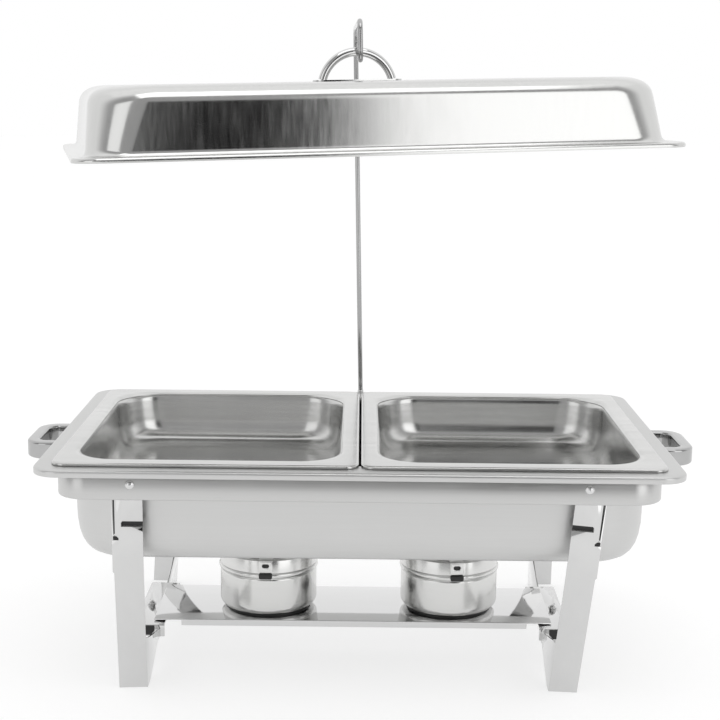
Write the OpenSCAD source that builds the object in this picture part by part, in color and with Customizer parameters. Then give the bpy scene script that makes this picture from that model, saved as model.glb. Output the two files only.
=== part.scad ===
// Folding buffet server: two food pans over a water bath, gel-fuel burners,
// folding leg frames and a lid that hangs on a swivel hook.
// Millimetres, +Z up, front is -Y, the floor is Z = 0.

/* [Frame] */
// Outer length of the band that carries the water pan
band_w = 530; // [480:1:600]
// Outer depth of the band
band_d = 330; // [300:1:380]
// Lower edge of the band above the floor
band_z = 177; // [150:1:220]
// Height of the band
band_h = 26.3; // [18:0.1:40]
// Sheet thickness of the band
band_t = 1.5; // [1:0.1:3]
// Corner radius of the band
band_r = 28; // [15:1:50]
// Reach of each end handle beyond the band
grip_out = 52; // [35:1:70]
// Half span of each end handle along the depth
grip_half = 42; // [30:1:70]
// Bar width and height of the end handles
grip_bar = 12; // [8:0.5:18]
// Height of the handle bar
grip_h = 16.5; // [10:0.5:20]

/* [Legs] */
// Distance of the leg pivots from the middle
pivot_x = 198.3; // [150:0.1:230]
// Height of the leg pivots
pivot_z = 191; // [170:1:210]
// Outer face of the leg plates from the middle
leg_y = 162; // [150:0.5:163]
// Leg sheet thickness
leg_t = 2; // [1.5:0.1:3]
// Lean of the front left leg toward the middle, degrees
lean_left = 0.2; // [-4:0.1:8]
// Lean of the back left leg toward the middle, degrees
lean_left_back = -2.8; // [-4:0.1:8]
// Lean of the front right leg toward the middle, degrees
lean_right = 5.2; // [-4:0.1:8]
// Lean of the back right leg toward the middle, degrees
lean_right_back = 1.2; // [-4:0.1:8]
// Lean that places the left bridge, degrees
lean_bridge_left = 0.1; // [-4:0.1:8]
// Lean that places the right bridge, degrees
lean_bridge_right = 4.2; // [-4:0.1:8]
// Bend of the lower leg about its slanted crease, degrees
crease_bend = 7.6; // [0:0.1:12]

/* [Shelf and burners] */
// Top of the shelf above the floor
shelf_z = 28.5; // [20:0.5:50]
// Depth of the shelf
shelf_d = 101; // [80:1:140]
// Distance of each burner from the middle
burner_x = 88.5; // [60:0.5:120]
// Radius of the burner body
burner_r = 47.1; // [35:0.1:55]
// Height of the burner from base to cover
burner_h = 59.5; // [45:0.5:80]
// Turn of the right snuffer at rest, degrees
snuffer_turn = 5.6; // [-20:0.1:20]

/* [Pans] */
// Water pan flange length
rim_w = 566; // [540:1:600]
// Water pan flange depth
rim_d = 354; // [340:1:380]
// Top of the water pan flange
rim_z = 206; // [190:1:230]
// Water pan body length
bath_w = 512; // [480:1:528]
// Water pan body depth
bath_d = 296; // [280:1:300]
// Water pan depth
bath_h = 91; // [60:1:100]
// Food pan flange length
pan_w = 267; // [240:1:268]
// Food pan flange depth
pan_d = 325; // [300:1:330]
// Food pan depth
pan_h = 50; // [40:1:72]

/* [Lid and hook] */
// Lid flange length
lid_w = 531; // [500:1:560]
// Lid flange depth
lid_d = 332; // [300:1:350]
// Lid height above its flange
lid_h = 58; // [40:1:80]
// Height of the lid flange where it hangs
lid_z = 477.5; // [460:0.5:520]
// Turn of the hanging lid, degrees
lid_yaw = 12.3; // [0:0.1:20]
// Dip of the hanging lid toward its left end, degrees
lid_dip = 1.63; // [0:0.01:4]
// Hook rod diameter
rod_dia = 5; // [4:0.5:8]
// Hook rod distance behind the middle
rod_y = 184.5; // [182:0.5:192]

/* [Hidden] */
$fn = 64;
lid_x = -8;
hook_x = -4.2;
band_top = band_z + band_h;
brace_x = 11.5;
arch_r = 34;
pin_x = 32.8;
steel = [0.80, 0.80, 0.79];
mirror_steel = [0.86, 0.86, 0.86];
satin = [0.74, 0.74, 0.73];
dark = [0.06, 0.06, 0.06];

// upright block with four rounded corners, base at z = 0
module block(w, d, h, r) {
    translate([-w / 2 + r, -d / 2, 0])
        cube([w - 2 * r, d, h]);
    translate([-w / 2, -d / 2 + r, 0])
        cube([w, d - 2 * r, h]);
    for (sx = [-1, 1])
        for (sy = [-1, 1])
            translate([sx * (w / 2 - r), sy * (d / 2 - r), 0])
                cylinder(r = r, h = h);
}

// block with its lower edges rounded too
module tub(w, d, h, rc, rb) {
    intersection() {
        block(w + 0.1, d + 0.1, h, rc);
        translate([0, d / 2 + 1, h + 1])
            rotate([90, 0, 0])
                block(w, 2 * h + 2, d + 2, rb);
        translate([-w / 2 - 1, 0, h + 1])
            rotate([90, 0, 90])
                block(d, 2 * h + 2, w + 2, rb);
    }
}

module puck(rc, rb, h) {
    cylinder(r = rc - rb, h = h);
    translate([0, 0, rb])
        cylinder(r = rc, h = h - rb);
    translate([0, 0, rb])
        rotate_extrude()
            translate([rc - rb, 0])
                circle(r = rb);
}

// thin tray: tub with a wall, open at the top
module tray(w, d, h, rc, rb, t) {
    difference() {
        tub(w, d, h, rc, rb);
        translate([0, 0, t])
            tub(w - 2 * t, d - 2 * t, h, rc - t, rb - t);
    }
}

// flat ring with a hanging edge, top face at z = 0
module flange(w, d, r, in_w, in_d, in_r, t, drop) {
    difference() {
        translate([0, 0, -drop])
            block(w, d, drop, r);
        translate([0, 0, -drop - 1])
            block(w - 2 * t, d - 2 * t, drop + 1 - t, r - t);
        translate([0, 0, -drop - 1])
            block(in_w, in_d, drop + 2, in_r);
    }
}

// round wire pieces
module wire(len) {
    cylinder(d = rod_dia, h = len);
}

module elbow(r, a) {
    rotate_extrude(angle = a)
        translate([r, 0])
            circle(d = rod_dia);
}

// ---- frame ----
module frame_band() {
    color(satin)
        difference() {
            translate([0, 0, band_z])
                block(band_w, band_d, band_h, band_r);
            translate([0, 0, band_z - 1])
                block(band_w - 2 * band_t, band_d - 2 * band_t, band_h + 2, band_r - band_t);
            for (sx = [-1, 1])
                translate([sx * pivot_x, band_d, pivot_z])
                    rotate([90, 0, 0])
                        cylinder(d = 5, h = 2 * band_d);
            for (sy = [-1, 1])
                translate([-band_w, sy * (grip_half - grip_bar / 2), band_z + 14])
                    rotate([0, 90, 0])
                        cylinder(d = 4, h = 2 * band_w);
            for (sx = [-1, 1])
                translate([sx * 13, 100, band_z + 13])
                    rotate([-90, 0, 0])
                        cylinder(d = 4, h = 100);
        }
}

// folded lower edge inside the band
module band_hem() {
    color(satin)
        difference() {
            translate([0, 0, band_z + 0.4])
                block(band_w - 2 * band_t, band_d - 2 * band_t, 2.6, band_r - band_t);
            translate([0, 0, band_z - 1])
                block(band_w - 2 * band_t - 1.6, band_d - 2 * band_t - 1.6, 6, band_r - band_t - 0.8);
        }
}

// square-section end handle on the right end
module handle_bar() {
    z0 = band_z + 4.5;
    x0 = band_w / 2;
    difference() {
        union() {
            translate([x0, -grip_half, z0])
                cube([grip_out - 15, 2 * grip_half, grip_h]);
            translate([x0, -grip_half + 15, z0])
                cube([grip_out, 2 * grip_half - 30, grip_h]);
            for (sy = [-1, 1])
                translate([x0 + grip_out - 15, sy * (grip_half - 15), z0])
                    cylinder(r = 15, h = grip_h);
        }
        translate([x0 - 1, -grip_half + grip_bar, z0 - 1])
            cube([grip_out - grip_bar - 4, 2 * (grip_half - grip_bar), grip_h + 2]);
        translate([x0 - 1, -grip_half + grip_bar + 5, z0 - 1])
            cube([grip_out - grip_bar + 1, 2 * (grip_half - grip_bar) - 10, grip_h + 2]);
        for (sy = [-1, 1])
            translate([x0 + grip_out - grip_bar - 5, sy * (grip_half - grip_bar - 5), z0 - 1])
                cylinder(r = 5, h = grip_h + 2);
        for (sy = [-1, 1])
            translate([x0 - 1, sy * (grip_half - grip_bar / 2), z0 + 9.5])
                rotate([0, 90, 0])
                    cylinder(d = 4, h = 13);
    }
}

module handle_right() {
    color(mirror_steel)
        handle_bar();
}

module handle_left() {
    color(mirror_steel)
        rotate([0, 0, 180])
            handle_bar();
}

module handle_screws() {
    for (sy = [-1, 1])
        translate([band_w / 2 - band_t, sy * (grip_half - grip_bar / 2), band_z + 14])
            rotate([0, 90, 0]) {
                cylinder(d = 4, h = band_t + 12);
                translate([0, 0, -1.8])
                    cylinder(d = 7.5, h = 1.8);
            }
}

module handle_screws_right() {
    color(steel)
        handle_screws();
}

module handle_screws_left() {
    color(steel)
        rotate([0, 0, 180])
            handle_screws();
}

// domed rivet: shank through band, washer and leg, head outside, flat head inside
module pivot_rivet() {
    translate([pivot_x, 0, pivot_z])
        rotate([90, 0, 0]) {
            translate([0, 0, leg_y - leg_t - 1.6])
                cylinder(d = 5, h = band_d / 2 - leg_y + leg_t + 1.6);
            translate([0, 0, leg_y - leg_t - 1.7])
                cylinder(d = 9, h = 1.6);
            translate([0, 0, band_d / 2])
                intersection() {
                    cylinder(d = 8.4, h = 3);
                    translate([0, 0, -2.4])
                        sphere(r = 4.9);
                }
        }
}

module rivet_pair() {
    pivot_rivet();
    mirror([0, 1, 0])
        pivot_rivet();
}

module pivot_rivets_right() {
    color(steel)
        rivet_pair();
}

module pivot_rivets_left() {
    color(steel)
        mirror([1, 0, 0])
            rivet_pair();
}

module washer_pair() {
    gap = band_d / 2 - band_t - leg_y;
    for (s = [-1, 1])
        translate([pivot_x, s * (leg_y + gap / 2 + 0.05), pivot_z])
            rotate([90, 0, 0])
                difference() {
                    cylinder(d = 12, h = gap - 0.1, center = true);
                    cylinder(d = 5, h = gap + 2, center = true);
                }
}

module pivot_washers_right() {
    color(steel)
        washer_pair();
}

module pivot_washers_left() {
    color(steel)
        mirror([1, 0, 0])
            washer_pair();
}

module hook_socket() {
    color(steel)
        translate([0, rod_y, 164])
            difference() {
                cylinder(d = 9, h = 31);
                translate([0, 0, -1])
                    cylinder(d = rod_dia + 0.14, h = 33);
            }
}

module socket_bracket() {
    y0 = band_d / 2;
    color(steel)
        difference() {
            union() {
                translate([-20, y0, band_z + 4])
                    cube([40, 1.6, 18]);
                translate([-3.5, y0, band_z + 4])
                    cube([7, rod_y - y0, 14]);
            }
            translate([0, rod_y, 150])
                cylinder(d = 9, h = 60);
            for (sx = [-1, 1])
                translate([sx * 13, y0 - 1, band_z + 13])
                    rotate([-90, 0, 0])
                        cylinder(d = 4, h = 4);
        }
}

module socket_rivets() {
    color(steel)
        for (sx = [-1, 1])
            translate([sx * 13, band_d / 2, band_z + 13])
                rotate([-90, 0, 0]) {
                    translate([0, 0, -band_t])
                        cylinder(d = 4, h = band_t + 1.6);
                    translate([0, 0, 1.6])
                        cylinder(d = 7, h = 1.6);
                    translate([0, 0, -band_t - 1.2])
                        cylinder(d = 7, h = 1.2);
                }
}

// ---- leg frames, drawn for the right end about the pivot, x inward is negative ----
// outline of the part above the slanted crease
module leg_upper_outline() {
    difference() {
        union() {
            circle(r = 12.5);
            polygon([[-10.3, 7], [13, 7], [14, 0], [14, -44.6], [16.7, -47.3], [16.7, -79.25], [-10.3, -59]]);
        }
        // slot open at the inner edge
        polygon([[-12.5, -33.4], [7.4, -33.4], [8.6, -34.8], [8.6, -38.4], [-12.5, -38.4]]);
        // relief notch at the outer edge
        polygon([[17.5, -50.6], [10.8, -50.6], [10.8, -48.8], [14, -45.6], [17.5, -49]]);
        // bore for the pivot
        circle(d = 5.14);
    }
}

module leg_lower_outline() {
    polygon([[-10.3, -59], [16.7, -79.25], [15.4, -81], [15.4, -90], [14.4, -197], [-10, -197]]);
}

// vertical plate from an outline, outer face at y = -leg_y
module upright(t) {
    translate([0, -leg_y + t, 0])
        rotate([90, 0, 0])
            linear_extrude(height = t)
                children();
}

// front leg of the right frame in pivot coordinates
module leg_raw() {
    upright(leg_t)
        leg_upper_outline();
    translate([-10.3, -leg_y, -59])
        rotate(a = crease_bend, v = [28, 0, -21])
            translate([10.3, leg_y, 59])
                upright(leg_t)
                    leg_lower_outline();
    // return along the outer edge, standing back from the plate
    translate([15.2, -leg_y + 0.6, -49])
        cube([1.5, 8, 41]);
    translate([12, -leg_y + 1, -52])
        cube([4.7, 1.5, 4.5]);
    // tapering gusset that joins the bridge
    translate([-10.3, 0, 0])
        rotate([90, 0, 90])
            linear_extrude(height = 1.5)
                polygon([[-152.6, -143], [-134, -149.4], [-61.9, -168], [-61.9, -176], [-80, -174], [-136, -194],
                    [-147.6, -194]]);
}

module placed(lean) {
    translate([pivot_x, 0, pivot_z])
        rotate([0, lean, 0])
            children();
}

// level placing for what joins the two legs of a frame
module level(lean) {
    translate([pivot_x - 165 * sin(lean), 0, pivot_z])
        children();
}

module above_floor() {
    intersection() {
        children();
        translate([-400, -400, 0])
            cube([800, 800, 300]);
    }
}

module leg_front_right() {
    color(mirror_steel)
        above_floor()
            placed(lean_right)
                leg_raw();
}

module leg_back_right() {
    color(mirror_steel)
        above_floor()
            placed(lean_right_back)
                mirror([0, 1, 0])
                    leg_raw();
}

module leg_front_left() {
    color(mirror_steel)
        mirror([1, 0, 0])
            above_floor()
                placed(lean_left)
                    leg_raw();
}

module leg_back_left() {
    color(mirror_steel)
        mirror([1, 0, 0])
            above_floor()
                placed(lean_left_back)
                    mirror([0, 1, 0])
                        leg_raw();
}

// plate, lips and stiffening web between the two legs of the right frame
module bridge_raw() {
    difference() {
        translate([-14, -60.3, -166.5])
            cube([28.5, 120.6, 2]);
        translate([6, 0, -170])
            cylinder(d = 4, h = 8);
    }
    for (s = [-1, 1])
        translate([-14.5, s * 61.05 - 0.75, -176])
            cube([29, 1.5, 11.5]);
    translate([-10.3, -61, -176])
        cube([1.5, 122, 10.5]);
}

module bridge_right() {
    color(mirror_steel)
        level(lean_bridge_right)
            bridge_raw();
}

module bridge_left() {
    color(mirror_steel)
        mirror([1, 0, 0])
            level(lean_bridge_left)
                bridge_raw();
}

module stud_raw() {
    translate([6, 0, -170])
        cylinder(d = 4, h = 5.5);
    translate([6, 0, -164.5])
        intersection() {
            cylinder(d = 9, h = 3);
            translate([0, 0, -2.4])
                sphere(r = 5.1);
        }
    translate([6, 0, -169])
        cylinder(d = 7, h = 2.5);
}

module stud_right() {
    color(steel)
        level(lean_bridge_right)
            stud_raw();
}

module stud_left() {
    color(steel)
        mirror([1, 0, 0])
            level(lean_bridge_left)
                stud_raw();
}

module caps_raw() {
    for (s = [-1, 1])
        translate([s < 0 ? 0 : 7, s * 62.65 + 0.75, 0])
            rotate([90, 0, 0])
                linear_extrude(height = 1.5)
                    polygon([[-5, -165], [s < 0 ? 14 : 7, -165], [s < 0 ? 14 : 7, -174], [-1.5, -174], [-5, -170]]);
}

module bridge_caps_right() {
    color(dark)
        level(lean_bridge_right)
            caps_raw();
}

module bridge_caps_left() {
    color(dark)
        mirror([1, 0, 0])
            level(lean_bridge_left)
                caps_raw();
}

// ---- shelf: inverted channel whose ends lie on the bridges ----
module shelf() {
    lip = 6.5;
    color(mirror_steel)
        union() {
            translate([-195, -shelf_d / 2, shelf_z - 1.5])
                cube([380, shelf_d, 1.5]);
            for (s = [-1, 1])
                translate([-169, s * (shelf_d / 2 - 0.75) - 0.75, shelf_z - lip])
                    cube([330, 1.5, lip]);
        }
}

// ---- burners, drawn about their own axis with the base at z = 0 ----
module cup_raw() {
    r = burner_r;
    difference() {
        translate([0, 0, 1.6])
            puck(r, 8, burner_h - 22.6);
        translate([0, 0, 2.6])
            puck(r - 1, 7, burner_h);
    }
}

module base_raw() {
    difference() {
        cylinder(r = burner_r - 6, h = 1.5);
        translate([0, 0, -1])
            cylinder(r = burner_r - 10, h = 4);
    }
}

// bead, upper ring and top plate with four vent windows
module collar_raw() {
    r = burner_r;
    z0 = burner_h - 20.9;
    difference() {
        union() {
            translate([0, 0, z0])
                cylinder(r = r, h = 18.4);
            translate([0, 0, z0 + 3.4])
                rotate_extrude()
                    translate([r - 2, 0])
                        circle(r = 3.4);
        }
        translate([0, 0, z0 - 1])
            cylinder(r = r - 1, h = 17.9);
        vents(z0);
        cylinder(r = 2, h = 100);
    }
}

module vents(z0) {
    for (a = [45 : 90 : 315])
        rotate([0, 0, a])
            intersection() {
                difference() {
                    translate([0, 0, z0 + 4])
                        cylinder(r = 34, h = 30);
                    translate([0, 0, z0])
                        cylinder(r = 12, h = 40);
                }
                translate([0, 0, z0])
                    linear_extrude(height = 60)
                        polygon([[0, 0], [60, -21], [60, 21]]);
            }
}

module can_raw() {
    translate([0, 0, 2.8])
        cylinder(r = 37, h = burner_h - 16.6);
}

// turning cover with matching windows and the start of its tab
module disc_raw() {
    z1 = burner_h - 2.3;
    difference() {
        union() {
            translate([0, 0, z1])
                cylinder(r = 40, h = 1);
            translate([-6.5, -50.6, z1])
                cube([13, 20, 1]);
        }
        rotate([0, 0, 45])
            vents(z1 - 20);
        cylinder(r = 2.06, h = 100);
    }
}

// hanging part of the tab with its oval hole
module tab_raw() {
    z1 = burner_h - 2.3;
    difference() {
        translate([-6.5, -50.6, z1 - 11.4])
            cube([13, 1.2, 11.4]);
        for (s = [-1, 1])
            translate([s * 1.6, -40, z1 - 3.9])
                rotate([90, 0, 0])
                    cylinder(d = 3.6, h = 20);
        translate([-1.6, -60, z1 - 5.7])
            cube([3.2, 20, 3.6]);
    }
}

// heat-proof grip on the end of the tab
module grip_raw() {
    z1 = burner_h - 2.3;
    translate([-6.3, -49.4, z1 - 16.5])
        rotate([90, 0, 0])
            linear_extrude(height = 3.4)
                polygon([[0.8, 0], [11.8, 0], [12.6, 1.4], [12.6, 5], [0, 5], [0, 1.4]]);
}

module pin_raw() {
    z1 = burner_h - 2.3;
    translate([0, 0, z1 - 3])
        cylinder(r = 2, h = 4.2);
    translate([0, 0, z1 + 1.1])
        cylinder(r = 4.4, h = 1.2);
}

module at_left() {
    translate([-burner_x, 0, shelf_z + 0.1])
        children();
}

module at_right() {
    translate([burner_x, 0, shelf_z + 0.1])
        children();
}

module burner_cup_left() {
    color(satin)
        at_left()
            cup_raw();
}

module burner_base_left() {
    color(dark)
        at_left()
            base_raw();
}

module burner_collar_left() {
    color(steel)
        at_left()
            collar_raw();
}

module fuel_can_left() {
    color(satin)
        at_left()
            can_raw();
}

module snuffer_disc_left() {
    color(steel)
        at_left()
            disc_raw();
}

module snuffer_tab_left() {
    color(steel)
        at_left()
            tab_raw();
}

module snuffer_grip_left() {
    color(dark)
        at_left()
            grip_raw();
}

module snuffer_pin_left() {
    color(steel)
        at_left()
            pin_raw();
}

module burner_cup_right() {
    color(satin)
        at_right()
            cup_raw();
}

module burner_base_right() {
    color(dark)
        at_right()
            base_raw();
}

module burner_collar_right() {
    color(steel)
        at_right()
            collar_raw();
}

module fuel_can_right() {
    color(satin)
        at_right()
            can_raw();
}

module snuffer_disc_right() {
    color(steel)
        at_right()
            rotate([0, 0, snuffer_turn])
                disc_raw();
}

module snuffer_tab_right() {
    color(steel)
        at_right()
            rotate([0, 0, snuffer_turn])
                tab_raw();
}

module snuffer_grip_right() {
    color(dark)
        at_right()
            rotate([0, 0, snuffer_turn])
                grip_raw();
}

module snuffer_pin_right() {
    color(steel)
        at_right()
            pin_raw();
}

// ---- pans ----
module water_pan() {
    color(satin)
        union() {
            difference() {
                translate([0, 0, rim_z - bath_h])
                    tub(bath_w, bath_d, bath_h, 52, 34);
                translate([0, 0, rim_z - bath_h + 1.2])
                    tub(bath_w - 2.4, bath_d - 2.4, bath_h + 1, 50.8, 32.8);
            }
            translate([0, 0, rim_z])
                flange(rim_w, rim_d, 24, bath_w - 2, bath_d - 2, 51, 1.5, 6.5);
        }
}

module food_pan() {
    body_w = 234;
    body_d = 286;
    union() {
        difference() {
            translate([0, 0, rim_z + 3 - pan_h])
                tub(body_w, body_d, pan_h, 42, 20);
            translate([0, 0, rim_z + 4 - pan_h])
                tub(body_w - 2, body_d - 2, pan_h + 1, 41, 19);
        }
        translate([0, 0, rim_z + 3.1])
            flange(pan_w, pan_d, 12, body_w - 1.6, body_d - 1.6, 41.2, 1.2, 3);
    }
}

module food_pan_left() {
    color(satin)
        translate([-pan_w / 2 - 0.9, 0, 0])
            food_pan();
}

module food_pan_right() {
    color(satin)
        translate([pan_w / 2 + 0.9, 0, 0])
            food_pan();
}

// ---- hook ----
module hook_rod() {
    r1 = 20;
    r2 = 11;
    arm_z = 387;
    color(mirror_steel)
        union() {
            // part that turns in the socket
            translate([0, rod_y, 160])
                wire(42);
            // swaged ring where the upright starts to lean
            translate([0, rod_y, 199.3])
                cylinder(d = 6.6, h = 7.2);
            // leaning upright, arm and hooked end
            translate([0, rod_y, 203])
                rotate([0, -1.4, 1.5]) {
                    translate([0, 0, 1])
                        wire(arm_z - r1 - 1);
                    translate([0, -r1, arm_z - r1])
                        rotate([90, 0, 90])
                            elbow(r1, 90);
                    translate([0, -r1, arm_z])
                        rotate([90, 0, 0])
                            wire(rod_y - r1 + 9 - r2);
                    translate([0, -rod_y - 9 + r2, arm_z - r2])
                        rotate([90, 0, 90])
                            rotate([0, 0, 90])
                                elbow(r2, 90);
                    translate([0, -rod_y - 9, 361])
                        wire(arm_z - r2 - 361);
                    translate([0, -rod_y, 361])
                        rotate([90, 0, 90])
                            rotate([0, 0, 180])
                                elbow(9, 180);
                    translate([0, -rod_y + 9, 361])
                        wire(5);
                    translate([0, -rod_y + 9, 366])
                        cylinder(d1 = rod_dia, d2 = 3.2, h = 1.4);
                }
        }
}

// stop ring that rides on the socket
module hook_collar() {
    color(steel)
        translate([0, rod_y, 195.2])
            difference() {
                cylinder(d = 9, h = 4);
                translate([0, 0, -1])
                    cylinder(d = rod_dia, h = 6);
            }
}

// ---- lid, drawn about the middle of its flange ----
module hung() {
    translate([lid_x, 0, lid_z])
        rotate([0, 0, lid_yaw])
            rotate([0, -lid_dip, 0])
                children();
}

module lid_shell() {
    bw = lid_w - 24;
    bd = lid_d - 24;
    color(satin)
        hung()
            difference() {
                union() {
                    translate([0, 0, lid_h])
                        rotate([180, 0, 0])
                            tub(bw, bd, lid_h, 32, 24);
                    block(lid_w, lid_d, 1.2, 24);
                    translate([0, 0, -3])
                        block(lid_w, lid_d, 3.2, 24);
                }
                translate([0, 0, lid_h - 1.2])
                    rotate([180, 0, 0])
                        tub(bw - 2.4, bd - 2.4, lid_h + 3, 30.8, 22.8);
                translate([0, 0, -4])
                    block(lid_w - 2.4, lid_d - 2.4, 4, 22.8);
                for (s = [-1, 1])
                    translate([s * pin_x + 3.4, 0, lid_h - 10])
                        cylinder(d = 5, h = 20);
            }
}

// half ring of round bar with pins through the lid
module lid_handle() {
    color(mirror_steel)
        hung()
            translate([3.4, 0, 0]) {
                intersection() {
                    translate([0, 0, lid_h - 7.2])
                        rotate([90, 0, 0])
                            rotate_extrude()
                                translate([arch_r, 0])
                                    circle(d = 8);
                    translate([-50, -10, lid_h + 1.6])
                        cube([100, 20, 60]);
                }
                for (s = [-1, 1])
                    translate([s * pin_x, 0, lid_h - 8])
                        cylinder(d = 5, h = 11);
            }
}

module lid_handle_plate() {
    color(mirror_steel)
        hung()
            translate([3.4, 0, lid_h])
                difference() {
                    block(84, 20, 1.6, 9.9);
                    for (s = [-1, 1])
                        translate([s * pin_x, 0, -1])
                            cylinder(d = 5, h = 4);
                }
}

module lid_handle_nuts() {
    color(steel)
        hung()
            for (s = [-1, 1])
                translate([s * pin_x + 3.4, 0, lid_h - 1.2 - 4])
                    difference() {
                        cylinder(d = 10, h = 4, $fn = 6);
                        translate([0, 0, -1])
                            cylinder(d = 5, h = 6);
                    }
}

// ---- drawing ----
frame_band();
band_hem();
handle_left();
handle_right();
handle_screws_left();
handle_screws_right();
pivot_rivets_left();
pivot_rivets_right();
pivot_washers_left();
pivot_washers_right();
hook_socket();
socket_bracket();
socket_rivets();
leg_front_left();
leg_back_left();
bridge_left();
stud_left();
bridge_caps_left();
leg_front_right();
leg_back_right();
bridge_right();
stud_right();
bridge_caps_right();
shelf();
burner_cup_left();
burner_base_left();
burner_collar_left();
fuel_can_left();
snuffer_disc_left();
snuffer_tab_left();
snuffer_grip_left();
snuffer_pin_left();
burner_cup_right();
burner_base_right();
burner_collar_right();
fuel_can_right();
snuffer_disc_right();
snuffer_tab_right();
snuffer_grip_right();
snuffer_pin_right();
water_pan();
food_pan_left();
food_pan_right();
hook_rod();
hook_collar();
lid_shell();
lid_handle();
lid_handle_plate();
lid_handle_nuts();
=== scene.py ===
import bpy, bmesh, math
from mathutils import Matrix, Vector


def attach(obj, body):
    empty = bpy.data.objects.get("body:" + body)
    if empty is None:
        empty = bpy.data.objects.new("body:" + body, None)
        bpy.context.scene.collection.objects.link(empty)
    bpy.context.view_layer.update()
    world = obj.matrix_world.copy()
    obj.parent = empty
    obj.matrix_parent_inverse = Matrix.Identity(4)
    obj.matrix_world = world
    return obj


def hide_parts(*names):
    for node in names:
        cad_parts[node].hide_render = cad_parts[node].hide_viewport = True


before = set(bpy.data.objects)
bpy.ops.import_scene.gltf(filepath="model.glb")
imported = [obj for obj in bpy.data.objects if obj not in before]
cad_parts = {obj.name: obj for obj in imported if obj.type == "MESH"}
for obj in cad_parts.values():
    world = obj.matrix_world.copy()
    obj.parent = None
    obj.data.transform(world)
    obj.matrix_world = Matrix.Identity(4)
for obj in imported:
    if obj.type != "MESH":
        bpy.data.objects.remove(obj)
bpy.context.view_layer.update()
scene = bpy.context.scene
scene.view_settings.view_transform = "Standard"
print("frame loaded")

mm = 0.001
weld = 1e-7  # metres; points closer than this are one point


camera = {"x": -1.0, "y": -1417.9, "z": 529.5, "pitch": 10.27, "roll": 0.64,  # millimetres and degrees
          "lens": 75.11, "sensor": 36.0}


def makeCamera(c):
    data = bpy.data.cameras.new("buffetCamera")
    data.sensor_width = c["sensor"]
    data.lens = c["lens"]
    obj = bpy.data.objects.new("buffetCamera", data)
    pitch, roll = math.radians(c["pitch"]), math.radians(c["roll"])
    forward = Vector((0, math.cos(pitch), -math.sin(pitch)))
    right = Vector((1, 0, 0))
    up = right.cross(forward)
    rightRolled = math.cos(roll) * right + math.sin(roll) * up
    upRolled = -math.sin(roll) * right + math.cos(roll) * up
    turn = Matrix((rightRolled, upRolled, -forward)).transposed()
    place = Vector((c["x"], c["y"], c["z"])) * mm
    obj.matrix_world = Matrix.Translation(place) @ turn.to_4x4()
    scene.collection.objects.link(obj)
    scene.camera = obj


makeCamera(camera)


def nodeTree(name):
    mat = bpy.data.materials.new(name)
    mat.use_nodes = True
    tree = mat.node_tree
    shader = next(n for n in tree.nodes if n.type == "BSDF_PRINCIPLED")
    return mat, tree, shader


def noise(tree, source, scale, detail):
    node = tree.nodes.new("ShaderNodeTexNoise")
    node.inputs["Scale"].default_value = scale
    node.inputs["Detail"].default_value = detail
    tree.links.new(source, node.inputs["Vector"])
    return node


def scaled(tree, value, share):
    node = tree.nodes.new("ShaderNodeMath")
    node.operation = "MULTIPLY"
    node.inputs[1].default_value = share
    tree.links.new(value, node.inputs[0])
    return node.outputs[0]


def toneGlossBump(tree, shader, look, amount, height, span=None):
    # colour and gloss follow amount, the relief follows height
    link = tree.links.new
    tone = tree.nodes.new("ShaderNodeMix")
    tone.data_type = "RGBA"
    tone.inputs[6].default_value = (*look["dark"], 1)
    tone.inputs[7].default_value = (*look["light"], 1)
    link(amount, tone.inputs[0])
    link(tone.outputs[2], shader.inputs["Base Color"])
    gloss = tree.nodes.new("ShaderNodeMapRange")
    if span:
        gloss.inputs["From Min"].default_value, gloss.inputs["From Max"].default_value = span
    gloss.inputs["To Min"].default_value, gloss.inputs["To Max"].default_value = look["rough"]
    link(amount, gloss.inputs["Value"])
    link(gloss.outputs["Result"], shader.inputs["Roughness"])
    bump = tree.nodes.new("ShaderNodeBump")
    bump.inputs["Strength"].default_value = look["bump"]
    bump.inputs["Distance"].default_value = look["depth"]
    link(height, bump.inputs["Height"])
    link(bump.outputs["Normal"], shader.inputs["Normal"])


steelLook = {"grainDetail": 5.0, "grainRough": 0.65, "grainShare": 0.55, "cloud": 14.0, "cloudDetail": 4.0,
             "cloudShare": 0.45, "span": (0.3, 0.7), "depth": 0.00004}
trimLook = {"detail": 6.0, "depth": 0.0001}


def steelFinish(name, look):
    # brushed or polished steel: the grain is long where its scale is small, with cloudy wear
    look = {**steelLook, **look}
    mat, tree, shader = nodeTree(name)
    coords = tree.nodes.new("ShaderNodeTexCoord")
    grainMap = tree.nodes.new("ShaderNodeMapping")
    grainMap.inputs["Scale"].default_value = look["grain"]
    tree.links.new(coords.outputs["Object"], grainMap.inputs["Vector"])
    grain = noise(tree, grainMap.outputs["Vector"], 1.0, look["grainDetail"])
    grain.inputs["Roughness"].default_value = look["grainRough"]
    cloud = noise(tree, coords.outputs["Object"], look["cloud"], look["cloudDetail"])
    mixAmount = tree.nodes.new("ShaderNodeMath")
    mixAmount.operation = "ADD"
    tree.links.new(scaled(tree, grain.outputs["Fac"], look["grainShare"]), mixAmount.inputs[0])
    tree.links.new(scaled(tree, cloud.outputs["Fac"], look["cloudShare"]), mixAmount.inputs[1])
    toneGlossBump(tree, shader, look, mixAmount.outputs[0], grain.outputs["Fac"], look["span"])
    shader.inputs["Metallic"].default_value = 1.0
    return mat


def trimFinish(name, look):
    # moulded or painted dark trim with fine speckle
    look = {**trimLook, **look}
    mat, tree, shader = nodeTree(name)
    coords = tree.nodes.new("ShaderNodeTexCoord")
    speck = noise(tree, coords.outputs["Object"], look["scale"], look["detail"])
    toneGlossBump(tree, shader, look, speck.outputs["Fac"], speck.outputs["Fac"])
    return mat


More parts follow.
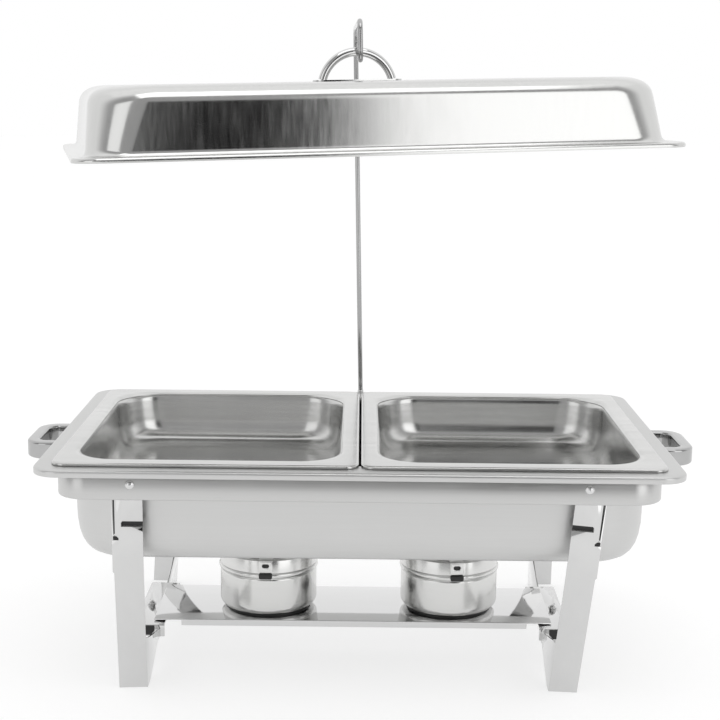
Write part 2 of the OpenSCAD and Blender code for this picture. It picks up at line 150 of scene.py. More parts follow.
steels = {
    "lidSatin": {"grain": (230, 230, 6), "dark": (0.57, 0.57, 0.565), "light": (0.70, 0.70, 0.69),
                 "rough": (0.12, 0.24), "bump": 0.10, "cloud": 9.0},
    "bandSatin": {"grain": (10, 10, 520), "dark": (0.52, 0.52, 0.515), "light": (0.63, 0.63, 0.625),
                  "rough": (0.26, 0.38), "bump": 0.14},
    "bathSatin": {"grain": (9, 9, 420), "dark": (0.56, 0.56, 0.555), "light": (0.65, 0.65, 0.645),
                  "rough": (0.30, 0.42), "bump": 0.12},
    # pan steel: grain runs along X over a wide dark-to-light range, partly brushed grain and partly painted
    # reflection stripes on the pan floors
    "panSatinAndReflectionStripes": {"grain": (5, 110, 190), "dark": (0.42, 0.42, 0.415), "light": (0.82, 0.82, 0.81),
                 "rough": (0.16, 0.27), "bump": 0.10},
    "mirrorSteel": {"grain": (60, 60, 60), "dark": (0.60, 0.60, 0.60), "light": (0.68, 0.68, 0.675),
                    "rough": (0.035, 0.085), "bump": 0.02},
    "shelfMirror": {"grain": (14, 200, 60), "dark": (0.66, 0.66, 0.66), "light": (0.73, 0.73, 0.73),
                    "rough": (0.03, 0.08), "bump": 0.02},
    "cupSatin": {"grain": (12, 12, 900), "dark": (0.60, 0.60, 0.59), "light": (0.76, 0.76, 0.75),
                 "rough": (0.15, 0.26), "bump": 0.16},
    "wireSteel": {"grain": (300, 300, 30), "dark": (0.30, 0.30, 0.30), "light": (0.52, 0.52, 0.52),
                  "rough": (0.08, 0.18), "bump": 0.05},
    "fastenerSteel": {"grain": (400, 400, 400), "dark": (0.58, 0.58, 0.58), "light": (0.78, 0.78, 0.78),
                      "rough": (0.16, 0.30), "bump": 0.12},
    "gripSteel": {"grain": (80, 80, 80), "dark": (0.38, 0.38, 0.38), "light": (0.52, 0.52, 0.52),
                  "rough": (0.05, 0.12), "bump": 0.03},
}
trims = {
    # the black of the dark trim, also used for the painted shade plates, caps and curled lip
    "blackTrimAndShade": {"scale": 320.0, "dark": (0.008, 0.008, 0.008), "light": (0.02, 0.02, 0.02),
                  "rough": (0.35, 0.6), "bump": 0.2},
    "fuelGel": {"scale": 180.0, "dark": (0.10, 0.10, 0.11), "light": (0.22, 0.22, 0.23),
                "rough": (0.35, 0.6), "bump": 0.25},
}
finishes = {name: steelFinish(name, look) for name, look in steels.items()}
finishes.update({name: trimFinish(name, look) for name, look in trims.items()})
print("finishes made:", len(finishes))


def finishObject(name, mesh, mat, sharpDeg=32.0):
    mesh.materials.clear()
    mesh.materials.append(mat)
    for p in mesh.polygons:
        p.use_smooth = True
    mesh.set_sharp_from_angle(angle=math.radians(sharpDeg))
    obj = bpy.data.objects.new(name, mesh)
    scene.collection.objects.link(obj)
    return obj


def meshFrom(bm, name):
    # faces turned outward, then written to a mesh
    bmesh.ops.recalc_face_normals(bm, faces=bm.faces)
    mesh = bpy.data.meshes.new(name)
    bm.to_mesh(mesh)
    bm.free()
    return mesh


def skin(bm, a, b):
    # quads between two rings of equal count
    n = len(a)
    for i in range(n):
        j = (i + 1) % n
        bm.faces.new((a[i], a[j], b[j], b[i]))


def roundedLoop(halfW, halfD, radius, z, steps):
    # points of a rounded rectangle, anticlockwise seen from above
    pts = []
    for k, (sx, sy) in enumerate(((1, 1), (-1, 1), (-1, -1), (1, -1))):
        cx, cy = sx * (halfW - radius), sy * (halfD - radius)
        for i in range(steps + 1):
            a = math.radians(90 * k + 90 * i / steps)
            pts.append((cx + radius * math.cos(a), cy + radius * math.sin(a), z))
    return pts


def loft(name, loops, mat, closed=False, sharpDeg=32.0):
    # skin between loops of equal count; closed joins the last to the first, else both ends get a flat face
    bm = bmesh.new()
    rings = [[bm.verts.new(Vector(p) * mm) for p in loop] for loop in loops]
    for a, b in zip(rings, rings[1:]):
        skin(bm, a, b)
    if closed:
        skin(bm, rings[-1], rings[0])
    else:
        bm.faces.new(rings[0])
        bm.faces.new(rings[-1])
    bmesh.ops.remove_doubles(bm, verts=bm.verts, dist=weld)
    return finishObject(name, meshFrom(bm, name), mat, sharpDeg)


def lathe(name, profile, mat, centre, segments=96):
    # closed profile of (radius, z) turned about a vertical axis
    bm = bmesh.new()
    rings = []
    for r, z in profile:
        turns = [2 * math.pi * i / segments for i in range(segments)] if r > 0 else [0.0]
        rings.append([bm.verts.new(Vector((centre[0] + r * math.cos(a), centre[1] + r * math.sin(a),
                                           centre[2] + z)) * mm) for a in turns])
    for a, b in zip(rings, rings[1:] + rings[:1]):
        if len(a) == len(b) == segments:
            skin(bm, a, b)
            continue
        for i in range(segments):
            j = (i + 1) % segments
            if len(b) == segments:
                bm.faces.new((a[0], b[j], b[i]))
            elif len(a) == segments:
                bm.faces.new((a[i], a[j], b[0]))
    return finishObject(name, meshFrom(bm, name), mat)


def tube(name, points, radius, mat, place=Matrix.Identity(4), sides=20):
    # round wire along a path, flat ends
    pts = [Vector(p) for p in points]
    bm = bmesh.new()
    rings = []
    side = None
    for i, p in enumerate(pts):
        d = (pts[min(i + 1, len(pts) - 1)] - pts[max(i - 1, 0)]).normalized()
        if side is None:
            side = Vector((1, 0, 0)) if abs(d.x) < 0.8 else Vector((0, 1, 0))
        side = (side - d * side.dot(d)).normalized()
        other = d.cross(side)
        rings.append([bm.verts.new(place @ ((p + radius * (math.cos(a) * side + math.sin(a) * other)) * mm))
                      for a in (2 * math.pi * k / sides for k in range(sides))])
    for a, b in zip(rings, rings[1:]):
        skin(bm, a, b)
    bm.faces.new(rings[0])
    bm.faces.new(rings[-1])
    return finishObject(name, meshFrom(bm, name), mat, sharpDeg=50.0)


def arcPoints(centre, u, v, radius, a0, a1, steps=14):
    # points on an arc from angle a0 to a1, in degrees from u towards v
    c, u, v = Vector(centre), Vector(u), Vector(v)
    return [c + radius * (math.cos(math.radians(a)) * u + math.sin(math.radians(a)) * v)
            for a in (a0 + (a1 - a0) * i / steps for i in range(steps + 1))]


softening = {"weld": 2e-6, "thin": 1e-6, "flat": 0.6, "sharpBefore": 35.0, "sharpAfter": 38.0}


def evaluated(obj):
    # the object's mesh with its modifiers applied
    graph = bpy.context.evaluated_depsgraph_get()
    done = bpy.data.meshes.new_from_object(obj.evaluated_get(graph))
    obj.modifiers.clear()
    obj.data = done
    for p in done.polygons:
        p.use_smooth = True
    return done


def softened(name, node, mat, width, segments=2, angleDeg=28.0):
    # a merged copy of a CAD node with its hard edges rounded
    s = softening
    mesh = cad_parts[node].data.copy()
    bm = bmesh.new()
    bm.from_mesh(mesh)
    bmesh.ops.remove_doubles(bm, verts=bm.verts, dist=s["weld"])
    bmesh.ops.dissolve_degenerate(bm, edges=bm.edges, dist=s["thin"])
    bmesh.ops.dissolve_limit(bm, angle_limit=math.radians(s["flat"]), verts=bm.verts, edges=bm.edges)
    bm.to_mesh(mesh)
    bm.free()
    mesh.name = name
    obj = finishObject(name, mesh, mat, s["sharpBefore"])
    bevel = obj.modifiers.new("edgeRound", "BEVEL")
    bevel.width = width * mm
    bevel.segments = segments
    bevel.limit_method = "ANGLE"
    bevel.angle_limit = math.radians(angleDeg)
    bevel.harden_normals = False
    done = evaluated(obj)
    done.name = name
    done.set_sharp_from_angle(angle=math.radians(s["sharpAfter"]))
    return obj


def takeOver(obj, body, slotName, *nodes):
    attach(obj, body)
    if nodes:
        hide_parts(*nodes)


def paint(mat, *nodes):
    for n in nodes:
        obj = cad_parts[n]
        for s in obj.material_slots:
            s.material = mat


# rows of the section: inset from the outer face, height; the lower edge is folded
band = {"halfW": 265.0, "halfD": 165.0, "corner": 28.0, "steps": 18, "rows": [
    (0.0, 203.0), (0.0, 179.2), (0.12, 178.0), (0.5, 177.3), (1.15, 177.02), (1.9, 177.2), (2.25, 177.9),
    (2.3, 180.0), (1.5, 180.2), (1.5, 203.0), (1.2, 203.3), (0.3, 203.3)]}


def makeBand(s):
    loops = [roundedLoop(s["halfW"] - x, s["halfD"] - x, s["corner"] - x, z, s["steps"]) for x, z in s["rows"]]
    return loft("bandStrip", loops, finishes["bandSatin"], closed=True, sharpDeg=50.0)


takeOver(makeBand(band), "frame", "band", "frame_band", "band_hem")

endHandle = {"reach": 316.9, "root": 265.0, "half": 36.0, "bend": 15.0, "z": 189.75, "barW": 6.0, "barH": 8.2,
             "soft": 2.4, "straight": 14.0, "gap": 0.05, "edgeSteps": 6, "bendSteps": 10}


def softSquareBar(name, path, s, mat, flip):
    # bar with softened square section swept in a level plane
    section = []
    for k, (sx, sz) in enumerate(((1, 1), (-1, 1), (-1, -1), (1, -1))):
        for i in range(s["edgeSteps"] + 1):
            a = math.radians(90 * k + 90 * i / s["edgeSteps"])
            section.append((sx * (s["barW"] - s["soft"]) + s["soft"] * math.cos(a),
                            sz * (s["barH"] - s["soft"]) + s["soft"] * math.sin(a)))
    bm = bmesh.new()
    rings = []
    for i, p in enumerate(path):
        a, b = Vector(path[max(i - 1, 0)]), Vector(path[min(i + 1, len(path) - 1)])
        d = (b - a).normalized()
        n = Vector((-d.y, d.x))
        rings.append([bm.verts.new(Vector((flip * (p[0] + n.x * u), flip * (p[1] + n.y * u), s["z"] + v)) * mm)
                      for u, v in section])
    for a, b in zip(rings, rings[1:]):
        skin(bm, a, b)
    bm.faces.new(rings[0])
    bm.faces.new(rings[-1])
    return finishObject(name, meshFrom(bm, name), mat, sharpDeg=40.0)


def handlePath(s):
    # two straight ends joined by a long straight with a round bend at each corner
    mid, r, half = s["reach"] - s["barW"], s["bend"], s["half"]
    near, far = s["root"] + s["gap"], s["root"] + s["straight"]
    pts = [(near, -half), (far, -half)]
    for side, start in ((-1, -90), (1, 0)):
        for i in range(s["bendSteps"] + 1):
            a = math.radians(start + 90 * i / s["bendSteps"])
            pts.append((mid - r + r * math.cos(a), side * (half - r) + r * math.sin(a)))
    return pts + [(far, half), (near, half)]


for sideName, flip in (("Left", -1), ("Right", 1)):
    grip = softSquareBar("endHandle" + sideName, handlePath(endHandle), endHandle, finishes["gripSteel"], flip)
    takeOver(grip, "frame", "grip", "handle_" + sideName.lower())
print("frame band and end handles made")


pivot = {"x": 198.3, "y": 165.0, "z": 191.0}  # axis of the leg frames at the band's face
leans = {"front_left": 0.2, "back_left": -2.8, "front_right": 5.2, "back_right": 1.2}
bridge = {"left": 0.1, "right": 4.2, "drop": 165.0, "out": 6.0, "studZ": 26.5}


def studAt(end, side):
    # the domed stud on the bridge, moved by the lean of its leg frame
    inward = bridge["drop"] * math.sin(math.radians(bridge[end]))
    return (side * (pivot["x"] - inward + bridge["out"]), 0.0, bridge["studZ"], 0, 0, 1)


# heads are given as a place and the direction in which they stand out
fasteners = {
    "pivotHeads": {"body": "frame", "slot": "hardware", "radius": 4.2, "height": 2.15,
                   "at": [(sx * pivot["x"], sy * pivot["y"], pivot["z"], 0, sy, 0)
                          for sx in (-1, 1) for sy in (-1, 1)]},
    "handleHeads": {"body": "frame", "slot": "hardware", "radius": 3.7, "height": 1.5,
                    "at": [(sx * 263.5, sy * 36.0, 191.0, -sx, 0, 0) for sx in (-1, 1) for sy in (-1, 1)]},
    "socketHeads": {"body": "frame", "slot": "hardware", "radius": 3.5, "height": 1.3,
                    "at": [(sx * 13.0, 166.6, 190.0, 0, 1, 0) for sx in (-1, 1)]},
    "studHeadLeft": {"body": "left_legs", "slot": "hardware", "radius": 4.4, "height": 1.9,
                     "at": [studAt("left", -1)]},
    "studHeadRight": {"body": "right_legs", "slot": "hardware", "radius": 4.4, "height": 1.9,
                      "at": [studAt("right", 1)]},
}


dome = {"segments": 32, "rings": 24, "skirt": -0.2, "sharpDeg": 50.0}


def domeTree(s):
    # half balls with a short skirt, one on each point, turned to the direction stored on the point
    tree = bpy.data.node_groups.new("domeHeads", "GeometryNodeTree")
    face = tree.interface
    face.new_socket("Geometry", in_out="INPUT", socket_type="NodeSocketGeometry")
    face.new_socket("Head Radius", in_out="INPUT", socket_type="NodeSocketFloat")
    face.new_socket("Head Height", in_out="INPUT", socket_type="NodeSocketFloat")
    face.new_socket("Finish", in_out="INPUT", socket_type="NodeSocketMaterial")
    face.new_socket("Geometry", in_out="OUTPUT", socket_type="NodeSocketGeometry")
    new, link = tree.nodes.new, tree.links.new
    gin, gout = new("NodeGroupInput"), new("NodeGroupOutput")
    ball = new("GeometryNodeMeshUVSphere")
    ball.inputs["Segments"].default_value = s["segments"]
    ball.inputs["Rings"].default_value = s["rings"]
    ball.inputs["Radius"].default_value = 1.0
    place = new("GeometryNodeInputPosition")
    split = new("ShaderNodeSeparateXYZ")
    below = new("FunctionNodeCompare")
    below.data_type = "FLOAT"
    below.operation = "LESS_THAN"
    below.inputs[1].default_value = 0.0
    flat = new("GeometryNodeSetPosition")
    join = new("ShaderNodeCombineXYZ")
    lowered = new("ShaderNodeMath")
    lowered.operation = "MAXIMUM"
    lowered.inputs[1].default_value = s["skirt"]
    grow = new("ShaderNodeCombineXYZ")
    onPoints = new("GeometryNodeInstanceOnPoints")
    toAxis = new("FunctionNodeAlignRotationToVector")
    toAxis.axis = "Z"
    axisIn = new("GeometryNodeInputNamedAttribute")
    axisIn.data_type = "FLOAT_VECTOR"
    axisIn.inputs["Name"].default_value = "headAxis"
    real = new("GeometryNodeRealizeInstances")
    setMat = new("GeometryNodeSetMaterial")
    wires = [(place, 0, split, 0), (split, "X", join, "X"), (split, "Y", join, "Y"), (split, "Z", lowered, 0),
             (lowered, 0, join, "Z"), (split, "Z", below, 0), (ball, "Mesh", flat, "Geometry"),
             (below, 0, flat, "Selection"), (join, 0, flat, "Position"),
             (gin, "Geometry", onPoints, "Points"), (flat, "Geometry", onPoints, "Instance"),
             (axisIn, 0, toAxis, "Vector"),
             (toAxis, "Rotation", onPoints, "Rotation"), (gin, "Head Radius", grow, "X"),
             (gin, "Head Radius", grow, "Y"), (gin, "Head Height", grow, "Z"), (grow, 0, onPoints, "Scale"),
             (onPoints, "Instances", real, "Geometry"), (real, "Geometry", setMat, "Geometry"),
             (gin, "Finish", setMat, "Material"), (setMat, "Geometry", gout, "Geometry")]
    for source, output, target, entry in wires:
        link(source.outputs[output], target.inputs[entry])
    return tree


def makeHeads(name, s, tree, mat):
    mesh = bpy.data.meshes.new(name)
    mesh.from_pydata([Vector(p[:3]) * mm for p in s["at"]], [], [])
    axis = mesh.attributes.new("headAxis", "FLOAT_VECTOR", "POINT")
    for i, p in enumerate(s["at"]):
        axis.data[i].vector = p[3:]
    obj = bpy.data.objects.new(name, mesh)
    scene.collection.objects.link(obj)
    mod = obj.modifiers.new("heads", "NODES")
    mod.node_group = tree
    ids = {i.name: i.identifier for i in tree.interface.items_tree if i.in_out == "INPUT"}
    mod[ids["Head Radius"]] = s["radius"] * mm
    mod[ids["Head Height"]] = s["height"] * mm
    mod[ids["Finish"]] = mat
    evaluated(obj).set_sharp_from_angle(angle=math.radians(dome["sharpDeg"]))
    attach(obj, s["body"])


headTree = domeTree(dome)
for name, s in fasteners.items():
    makeHeads(name, s, headTree, finishes["fastenerSteel"])
paint(finishes["fastenerSteel"], "handle_screws_left", "handle_screws_right", "pivot_rivets_left",
      "pivot_rivets_right", "pivot_washers_left", "pivot_washers_right", "socket_rivets", "stud_left",
      "stud_right", "snuffer_pin_left", "snuffer_pin_right", "hook_collar", "lid_handle_nuts")
print("fasteners made")


legEdge = {"leg": 0.35, "bridge": 0.4}
for end in ("left", "right"):
    body = end + "_legs"
    for place in ("front", "back"):
        node = "leg_%s_%s" % (place, end)
        takeOver(softened("leg" + place.title() + end.title(), node, finishes["mirrorSteel"], legEdge["leg"]),
                 body, "leg", node)
    node = "bridge_" + end
    plate = softened("bridge" + end.title(), node, finishes["mirrorSteel"], legEdge["bridge"])
    takeOver(plate, body, "leg", node)
    # painted shade: the black caps stand in for the dark opening seen in each bridge
    paint(finishes["blackTrimAndShade"], "bridge_caps_" + end)
print("leg frames made")


takeOver(softened("shelfChannel", "shelf", finishes["shelfMirror"], 0.6, 3), "shelf", "shelf", "shelf")
print("shelf made")


def paintedShadePad(name, body, boxes, move):
    # painted shade: thin black plates behind openings, standing in for the shade seen through them: (x0, x1, y0,
    # y1, z0, z1) in the piece's own frame
    bm = bmesh.new()
    for x0, x1, y0, y1, z0, z1 in boxes:
        for v in bmesh.ops.create_cube(bm, size=1.0)["verts"]:
            v.co = Vector(((x0 + x1) / 2 + v.co.x * (x1 - x0), (y0 + y1) / 2 + v.co.y * (y1 - y0),
                           (z0 + z1) / 2 + v.co.z * (z1 - z0)))
    for v in bm.verts:
        v.co = Vector(move(v.co)) * mm
    takeOver(finishObject(name, meshFrom(bm, name), finishes["blackTrimAndShade"]), body, "black_trim")


# painted shade behind the slot, in the notch and down the seam of each leg: black plates where the leg shows only
# shade
legShadePads = ((-10.0, 8.4, -159.7, -159.4, -38.2, -33.6), (11.0, 15.8, -161.5, -161.2, -50.4, -47.2),
           (14.15, 15.05, -161.0, -160.7, -45.0, -9.0))
for legName, degrees in leans.items():
    sy, sx = (1 if legName.startswith("front") else -1), (1 if legName.endswith("right") else -1)
    lean = Matrix.Rotation(math.radians(degrees), 3, "Y")
    paintedShadePad("slotShade_" + legName, legName.split("_")[1] + "_legs", legShadePads,
            lambda p: (sx * (pivot["x"] + (lean @ p).x), sy * p.y, pivot["z"] + (lean @ p).z))


# the cup's section: heights above the shelf, wall thickness and radius of the rounded foot
burner = {"x": 88.5, "floor": 28.6, "radius": 47.1, "foot": 1.6, "wall": 1.0, "bend": 8.0, "bendTop": 11.0,
          "rimLow": 36.8, "rim": ((0.15, 38.0), (0.5, 38.45), (1.0, 38.2)), "snufferTurn": 5.6,
          # hole is the box of the painted shade plate behind the snuffer tab's hole
          "hole": (-3.6, 3.6, -49.35, -49.05, 50.9, 55.6)}
burnerEdge = {"collar": 0.35, "cover": 0.22, "tab": 0.25, "grip": 0.5}


def cupProfile(s):
    r, bend, foot, wall = s["radius"], s["bend"], s["foot"], s["wall"]
    level = foot + bend

    def footBend(size, angles):
        return [(r - bend + size * math.sin(math.radians(a)), level - size * math.cos(math.radians(a)))
                for a in angles]

    outer = [(0.0, foot), (r - bend - 0.6, foot)] + footBend(bend, range(0, 91, 9))
    outer += [(r, s["bendTop"]), (r, s["rimLow"])] + [(r - inset, z) for inset, z in s["rim"]]
    inner = [(r - wall, s["bendTop"])] + footBend(bend - wall, range(90, -1, -9))
    return outer + inner + [(0.0, foot + wall)]


for sideName, sx in (("Left", -1), ("Right", 1)):
    low = sideName.lower()
    body = "burner_" + low
    axis = Vector((sx * burner["x"], 0, burner["floor"]))
    cup = lathe("burnerCup" + sideName, cupProfile(burner), finishes["cupSatin"], axis)
    takeOver(cup, body, "burner", "burner_cup_" + low)
    takeOver(softened("burnerCollar" + sideName, "burner_collar_" + low, finishes["cupSatin"],
                      burnerEdge["collar"], angleDeg=40.0), body, "collar", "burner_collar_" + low)
    paint(finishes["blackTrimAndShade"], "burner_base_" + low)
    paint(finishes["fuelGel"], "fuel_can_" + low)
    cover = "snuffer_" + low
    disc = softened("snufferCover" + sideName, "snuffer_disc_" + low, finishes["cupSatin"], burnerEdge["cover"])
    takeOver(disc, cover, "snuffer", "snuffer_disc_" + low)
    takeOver(softened("snufferTab" + sideName, "snuffer_tab_" + low, finishes["cupSatin"], burnerEdge["tab"]),
             cover, "snuffer", "snuffer_tab_" + low)
    # painted reflection: the black curled lip at the tab's end stands in for the dark its underside reflects
    grip = softened("snufferLipShade" + sideName, "snuffer_grip_" + low, finishes["blackTrimAndShade"], burnerEdge["grip"], 3)
    takeOver(grip, cover, "black_trim", "snuffer_grip_" + low)
    turn = Matrix.Rotation(math.radians(burner["snufferTurn"] if sx > 0 else 0.0), 3, "Z")
    # painted shade: a black plate behind the tab's hole stands in for the shade seen through it
    paintedShadePad("tabHoleShade" + sideName, cover, [burner["hole"]], lambda p: axis + turn @ p)
print("burners made")


def pressedPan(name, s, mat, centreX=0.0):
    # rows: inset along X, inset along Y, height, corner radius; outer skin then inner skin
    loops = []
    for ix, iy, z, r in s["rows"]:
        loop = roundedLoop(s["halfW"] - ix, s["halfD"] - iy, r, z, s["steps"])
        loops.append([(x + centreX, y, level) for x, y, level in loop])
    return loft(name, loops, mat, sharpDeg=60.0)


def bendRows(corners, steps=7):
    # corner list (insetX, insetY, z, cornerRadius, bend) with each bend rounded in section
    out = []
    for i, c in enumerate(corners):
        if c[4] <= 0 or i in (0, len(corners) - 1):
            out.append(c[:4])
            continue
        p, a, b = Vector((c[0], c[1], c[2])), Vector(corners[i - 1][:3]), Vector(corners[i + 1][:3])
        ra, rp, rb = corners[i - 1][3], c[3], corners[i + 1][3]
        ca, cb = min(c[4], (a - p).length * 0.48), min(c[4], (b - p).length * 0.48)
        start, end = p + (a - p).normalized() * ca, p + (b - p).normalized() * cb
        rs = rp + (ra - rp) * ca / max((a - p).length, 1e-6)
        re = rp + (rb - rp) * cb / max((b - p).length, 1e-6)
        for k in range(steps + 1):
            t = k / steps
            q = start.lerp(p, t).lerp(p.lerp(end, t), t)
            out.append((q.x, q.y, q.z, (1 - t) ** 2 * rs + 2 * t * (1 - t) * rp + t * t * re))
    return out


waterPan = {"halfW": 283.0, "halfD": 177.0, "steps": 16, "rows": bendRows([
    (73.5, 76.0, 115.0, 7.0, 0), (27.3, 29.2, 115.0, 50.0, 41.0), (27.0, 29.0, 203.2, 51.0, 2.0),
    (1.6, 1.6, 203.6, 22.0, 1.6), (1.4, 1.4, 199.9, 22.2, 0.3), (0.1, 0.1, 199.5, 23.8, 0.6),
    (0.0, 0.0, 204.6, 24.0, 1.6), (2.0, 2.0, 206.0, 22.0, 1.6), (26.0, 28.0, 206.0, 52.0, 3.6),
    (29.2, 30.8, 203.0, 50.0, 2.0), (28.9, 30.6, 116.2, 49.0, 40.0), (73.5, 76.0, 116.2, 7.0, 0)])}
takeOver(pressedPan("waterPan", waterPan, finishes["bathSatin"]), "water_pan", "water_pan", "water_pan")

foodPan = {"halfW": 133.5, "halfD": 162.5, "steps": 16, "gap": 0.9, "rows": bendRows([
    (62.0, 66.0, 159.0, 14.0, 0), (19.5, 22.5, 159.0, 46.0, 27.0), (16.6, 19.6, 206.0, 42.0, 2.0),
    (16.6, 19.6, 207.2, 42.0, 0.6), (1.2, 1.2, 207.6, 11.0, 1.0), (1.0, 1.0, 206.5, 11.0, 0.2),
    (0.05, 0.05, 206.2, 11.9, 0.4), (0.0, 0.0, 208.2, 12.0, 1.2), (1.6, 1.6, 209.1, 10.6, 1.0),
    (14.4, 17.4, 209.1, 42.0, 4.0), (17.6, 20.6, 205.0, 41.5, 4.0), (20.7, 23.7, 160.0, 45.0, 26.0),
    (62.0, 66.0, 160.0, 14.0, 0)])}
for sideName, sx in (("Left", -1), ("Right", 1)):
    low = sideName.lower()
    centreX = sx * (foodPan["halfW"] + foodPan["gap"])
    pan = pressedPan("foodPan" + sideName, foodPan, finishes["panSatinAndReflectionStripes"], centreX)
    takeOver(pan, "food_pan_" + low, "food_pan", "food_pan_" + low)
print("pans made")


hook = {"y": 184.5, "lean": -1.4, "turn": 1.5, "foot": 160.0, "knee": 203.0, "rise": 387.0, "bendBack": 20.0,
        "bendFront": 11.0, "jRadius": 9.0, "jHeight": 361.0, "radius": 2.5, "tip": 6.4, "spacing": 24,
        "swage": [(2.3, 199.4), (3.2, 199.5), (3.3, 200.2), (3.3, 205.4), (3.0, 206.3), (2.3, 206.4)]}


def makeHook(s):
    y, rise, rb, rf, jr, jh = s["y"], s["rise"], s["bendBack"], s["bendFront"], s["jRadius"], s["jHeight"]
    pts = [Vector((0, 0, z)) for z in range(1, int(rise - rb), s["spacing"])]
    pts += arcPoints((0, -rb, rise - rb), (0, 1, 0), (0, 0, 1), rb, 0, 90)
    frontY = -y - jr
    pts += arcPoints((0, frontY + rf, rise - rf), (0, 0, 1), (0, -1, 0), rf, 0, 90)
    pts += arcPoints((0, -y, jh), (0, -1, 0), (0, 0, -1), jr, 0, 180, 24)
    pts.append(Vector((0, -y + jr, jh + s["tip"])))
    knee = Vector((0, y, s["knee"]))
    turn = Matrix.Rotation(math.radians(s["lean"]), 3, "Y") @ Matrix.Rotation(math.radians(s["turn"]), 3, "Z")
    path = [Vector((0, y, s["foot"])), Vector((0, y, s["knee"] - 8))] + [knee + turn @ p for p in pts]
    return tube("hookRod", path, s["radius"], finishes["wireSteel"])


hookRod = makeHook(hook)
swage = lathe("hookSwage", hook["swage"], finishes["fastenerSteel"], (0, hook["y"], 0), 40)
takeOver(hookRod, "hook", "hook", "hook_rod")
takeOver(swage, "hook", "hardware")
print("hook made")


lid = {"x": -8.0, "z": 477.5, "yaw": 12.3, "dip": -1.63, "halfW": 265.5, "halfD": 166.0, "steps": 18}
lidPlace = (Matrix.Translation(Vector((lid["x"], 0, lid["z"])) * mm)
            @ Matrix.Rotation(math.radians(lid["yaw"]), 4, "Z")
            @ Matrix.Rotation(math.radians(lid["dip"]), 4, "Y"))
lidOuter = bendRows([
    (0.2, 0.2, -2.9, 23.8, 0), (0.0, 0.0, -0.6, 24.0, 1.0), (1.2, 1.2, 1.2, 23.0, 1.0),
    (12.4, 12.4, 1.3, 36.0, 6.0), (15.0, 15.0, 26.0, 42.0, 14.0), (18.5, 18.5, 58.6, 52.0, 36.0),
    (90.0, 90.0, 57.6, 20.0, 20.0), (150.0, 150.0, 58.0, 6.0, 0)], 12)
lidInner = bendRows([
    (150.0, 150.0, 56.8, 6.0, 0), (91.0, 91.0, 56.4, 20.0, 20.0), (19.7, 19.7, 57.4, 51.0, 35.0),
    (16.3, 16.3, 26.0, 41.0, 14.0), (13.7, 13.7, 0.2, 35.0, 5.0), (1.6, 1.6, 0.0, 22.4, 0.6),
    (1.4, 1.4, -2.9, 22.6, 0)], 12)


def makeLid(s):
    bm = bmesh.new()
    rings = []
    for ix, iy, z, r in lidOuter + lidInner:
        halfD = s["halfD"] - iy
        loop = roundedLoop(s["halfW"] - ix, halfD, min(r, halfD - 0.5), z, s["steps"])
        rings.append([bm.verts.new(lidPlace @ (Vector(p) * mm)) for p in loop])
    top = len(lidOuter) - 1
    for k in range(len(rings)):
        if k != top:  # the middle of the roof is closed by two flat faces instead
            skin(bm, rings[k], rings[(k + 1) % len(rings)])
    bm.faces.new(rings[top])
    bm.faces.new(rings[top + 1])
    return finishObject("lidShell", meshFrom(bm, "lidShell"), finishes["lidSatin"], sharpDeg=60.0)


takeOver(makeLid(lid), "lid", "lid", "lid_shell")

arch = {"radius": 34.0, "centre": 50.8, "offset": 3.4, "bar": 3.98, "from": 15.0}
archPath = arcPoints((arch["offset"], 0, arch["centre"]), (1, 0, 0), (0, 0, 1), arch["radius"], arch["from"],
                     180 - arch["from"], 48)
takeOver(tube("lidArch", archPath, arch["bar"], finishes["mirrorSteel"], lidPlace, 28), "lid", "lid_handle",
         "lid_handle")
takeOver(softened("lidArchPlate", "lid_handle_plate", finishes["mirrorSteel"], 0.5, 3), "lid", "lid_handle",
         "lid_handle_plate")
print("lid made")


def card(name, corners, strength):
    # large flat white reflector or softbox that only shows in reflections
    mesh = bpy.data.meshes.new(name)
    mesh.from_pydata([Vector(c) for c in corners], [], [(0, 1, 2, 3)])
    mat = bpy.data.materials.new(name)
    mat.use_nodes = True
    tree = mat.node_tree
    tree.nodes.clear()
    glow = tree.nodes.new("ShaderNodeEmission")
    glow.inputs["Color"].default_value = (1, 1, 1, 1)
    glow.inputs["Strength"].default_value = strength
    out = tree.nodes.new("ShaderNodeOutputMaterial")
    tree.links.new(glow.outputs[0], out.inputs["Surface"])
    mesh.materials.append(mat)
    obj = bpy.data.objects.new(name, mesh)
    scene.collection.objects.link(obj)
    obj.visible_camera = False
    obj.visible_shadow = False
    obj.visible_diffuse = False


def areaLamp(name, s):
    data = bpy.data.lights.new(name, "AREA")
    data.shape = "RECTANGLE"
    data.size, data.size_y = s["size"]
    data.energy = s["power"]
    obj = bpy.data.objects.new(name, data)
    obj.location = s["place"]
    obj.rotation_euler = (Vector(s["aim"]) - Vector(s["place"])).to_track_quat("-Z", "Y").to_euler()
    scene.collection.objects.link(obj)
    obj.visible_camera = False


# floor and surroundings, in metres; the room brightens from dimTo towards fullFrom, by direction
stage = {"floorHalf": 14.0, "floorGlow": 0.68, "floorTone": 0.42, "floorRough": 0.8, "room": 0.42,
         "behind": 1.0, "dimTo": -0.45, "fullFrom": 0.12}


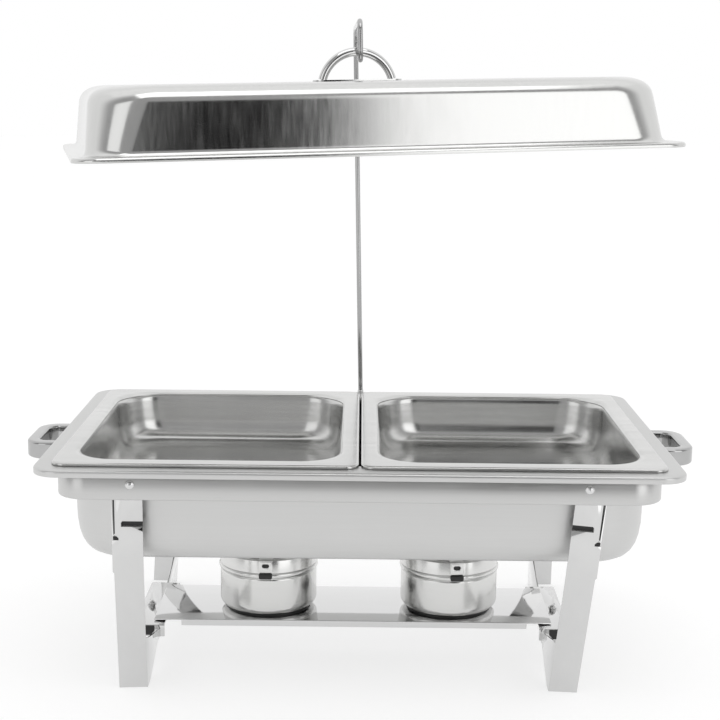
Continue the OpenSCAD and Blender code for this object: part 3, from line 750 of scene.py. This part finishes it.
def makeFloor(look):
    mesh = bpy.data.meshes.new("paleFloor")
    r = look["floorHalf"]
    mesh.from_pydata([(-r, -r, 0), (r, -r, 0), (r, r, 0), (-r, r, 0)], [], [(0, 1, 2, 3)])
    mat, tree, shader = nodeTree("paleFloor")
    tone = look["floorTone"]
    shader.inputs["Base Color"].default_value = (tone, tone, tone, 1)
    shader.inputs["Roughness"].default_value = look["floorRough"]
    shader.inputs["Specular IOR Level"].default_value = 0.0
    shader.inputs["Emission Color"].default_value = (1, 1, 1, 1)
    shader.inputs["Emission Strength"].default_value = look["floorGlow"]
    mesh.materials.append(mat)
    obj = bpy.data.objects.new("paleFloor", mesh)
    scene.collection.objects.link(obj)


def makeWorld(look):
    # white behind the object, dimmer on the side the light comes from
    world = bpy.data.worlds.new("studio")
    scene.world = world
    world.use_nodes = True
    tree = world.node_tree
    coords = tree.nodes.new("ShaderNodeTexCoord")
    parts = tree.nodes.new("ShaderNodeSeparateXYZ")
    level = tree.nodes.new("ShaderNodeMapRange")
    level.interpolation_type = "SMOOTHSTEP"
    level.inputs["From Min"].default_value = look["dimTo"]
    level.inputs["From Max"].default_value = look["fullFrom"]
    level.inputs["To Min"].default_value = look["room"]
    level.inputs["To Max"].default_value = look["behind"]
    tree.links.new(coords.outputs["Generated"], parts.inputs[0])
    tree.links.new(parts.outputs["Y"], level.inputs["Value"])
    tree.links.new(level.outputs["Result"], tree.nodes["Background"].inputs["Strength"])
    tree.nodes["Background"].inputs["Color"].default_value = (1, 1, 1, 1)


# upright cards in front of the object: left, right, bottom, top, distance, brightness
cards = {
    "flagRight": (0.26, 0.90, 0.1, 1.55, -2.2, 0.0),
    "softRight": (0.98, 3.2, -0.2, 2.4, -2.25, 1.6),
    "softLeft": (-3.2, -1.0, 0.0, 2.4, -2.25, 1.2),
}
ceiling = {"half": 1.7, "front": -0.2, "back": 1.6, "height": 2.5, "strength": 1.1}
lamp = {"place": (0.2, -0.7, 2.4), "aim": (0, 0, 0.2), "size": (1.6, 1.2), "power": 9}


def ceilingCorners(s):
    half, z = s["half"], s["height"]
    return [(-half, s["front"], z), (half, s["front"], z), (half, s["back"], z), (-half, s["back"], z)]


makeFloor(stage)
makeWorld(stage)
for cardName, (x0, x1, z0, z1, y, strength) in cards.items():
    card(cardName, [(x0, y, z0), (x1, y, z0), (x1, y, z1), (x0, y, z1)], strength)
card("softAbove", ceilingCorners(ceiling), ceiling["strength"])
areaLamp("keyAbove", lamp)
print("stage made")
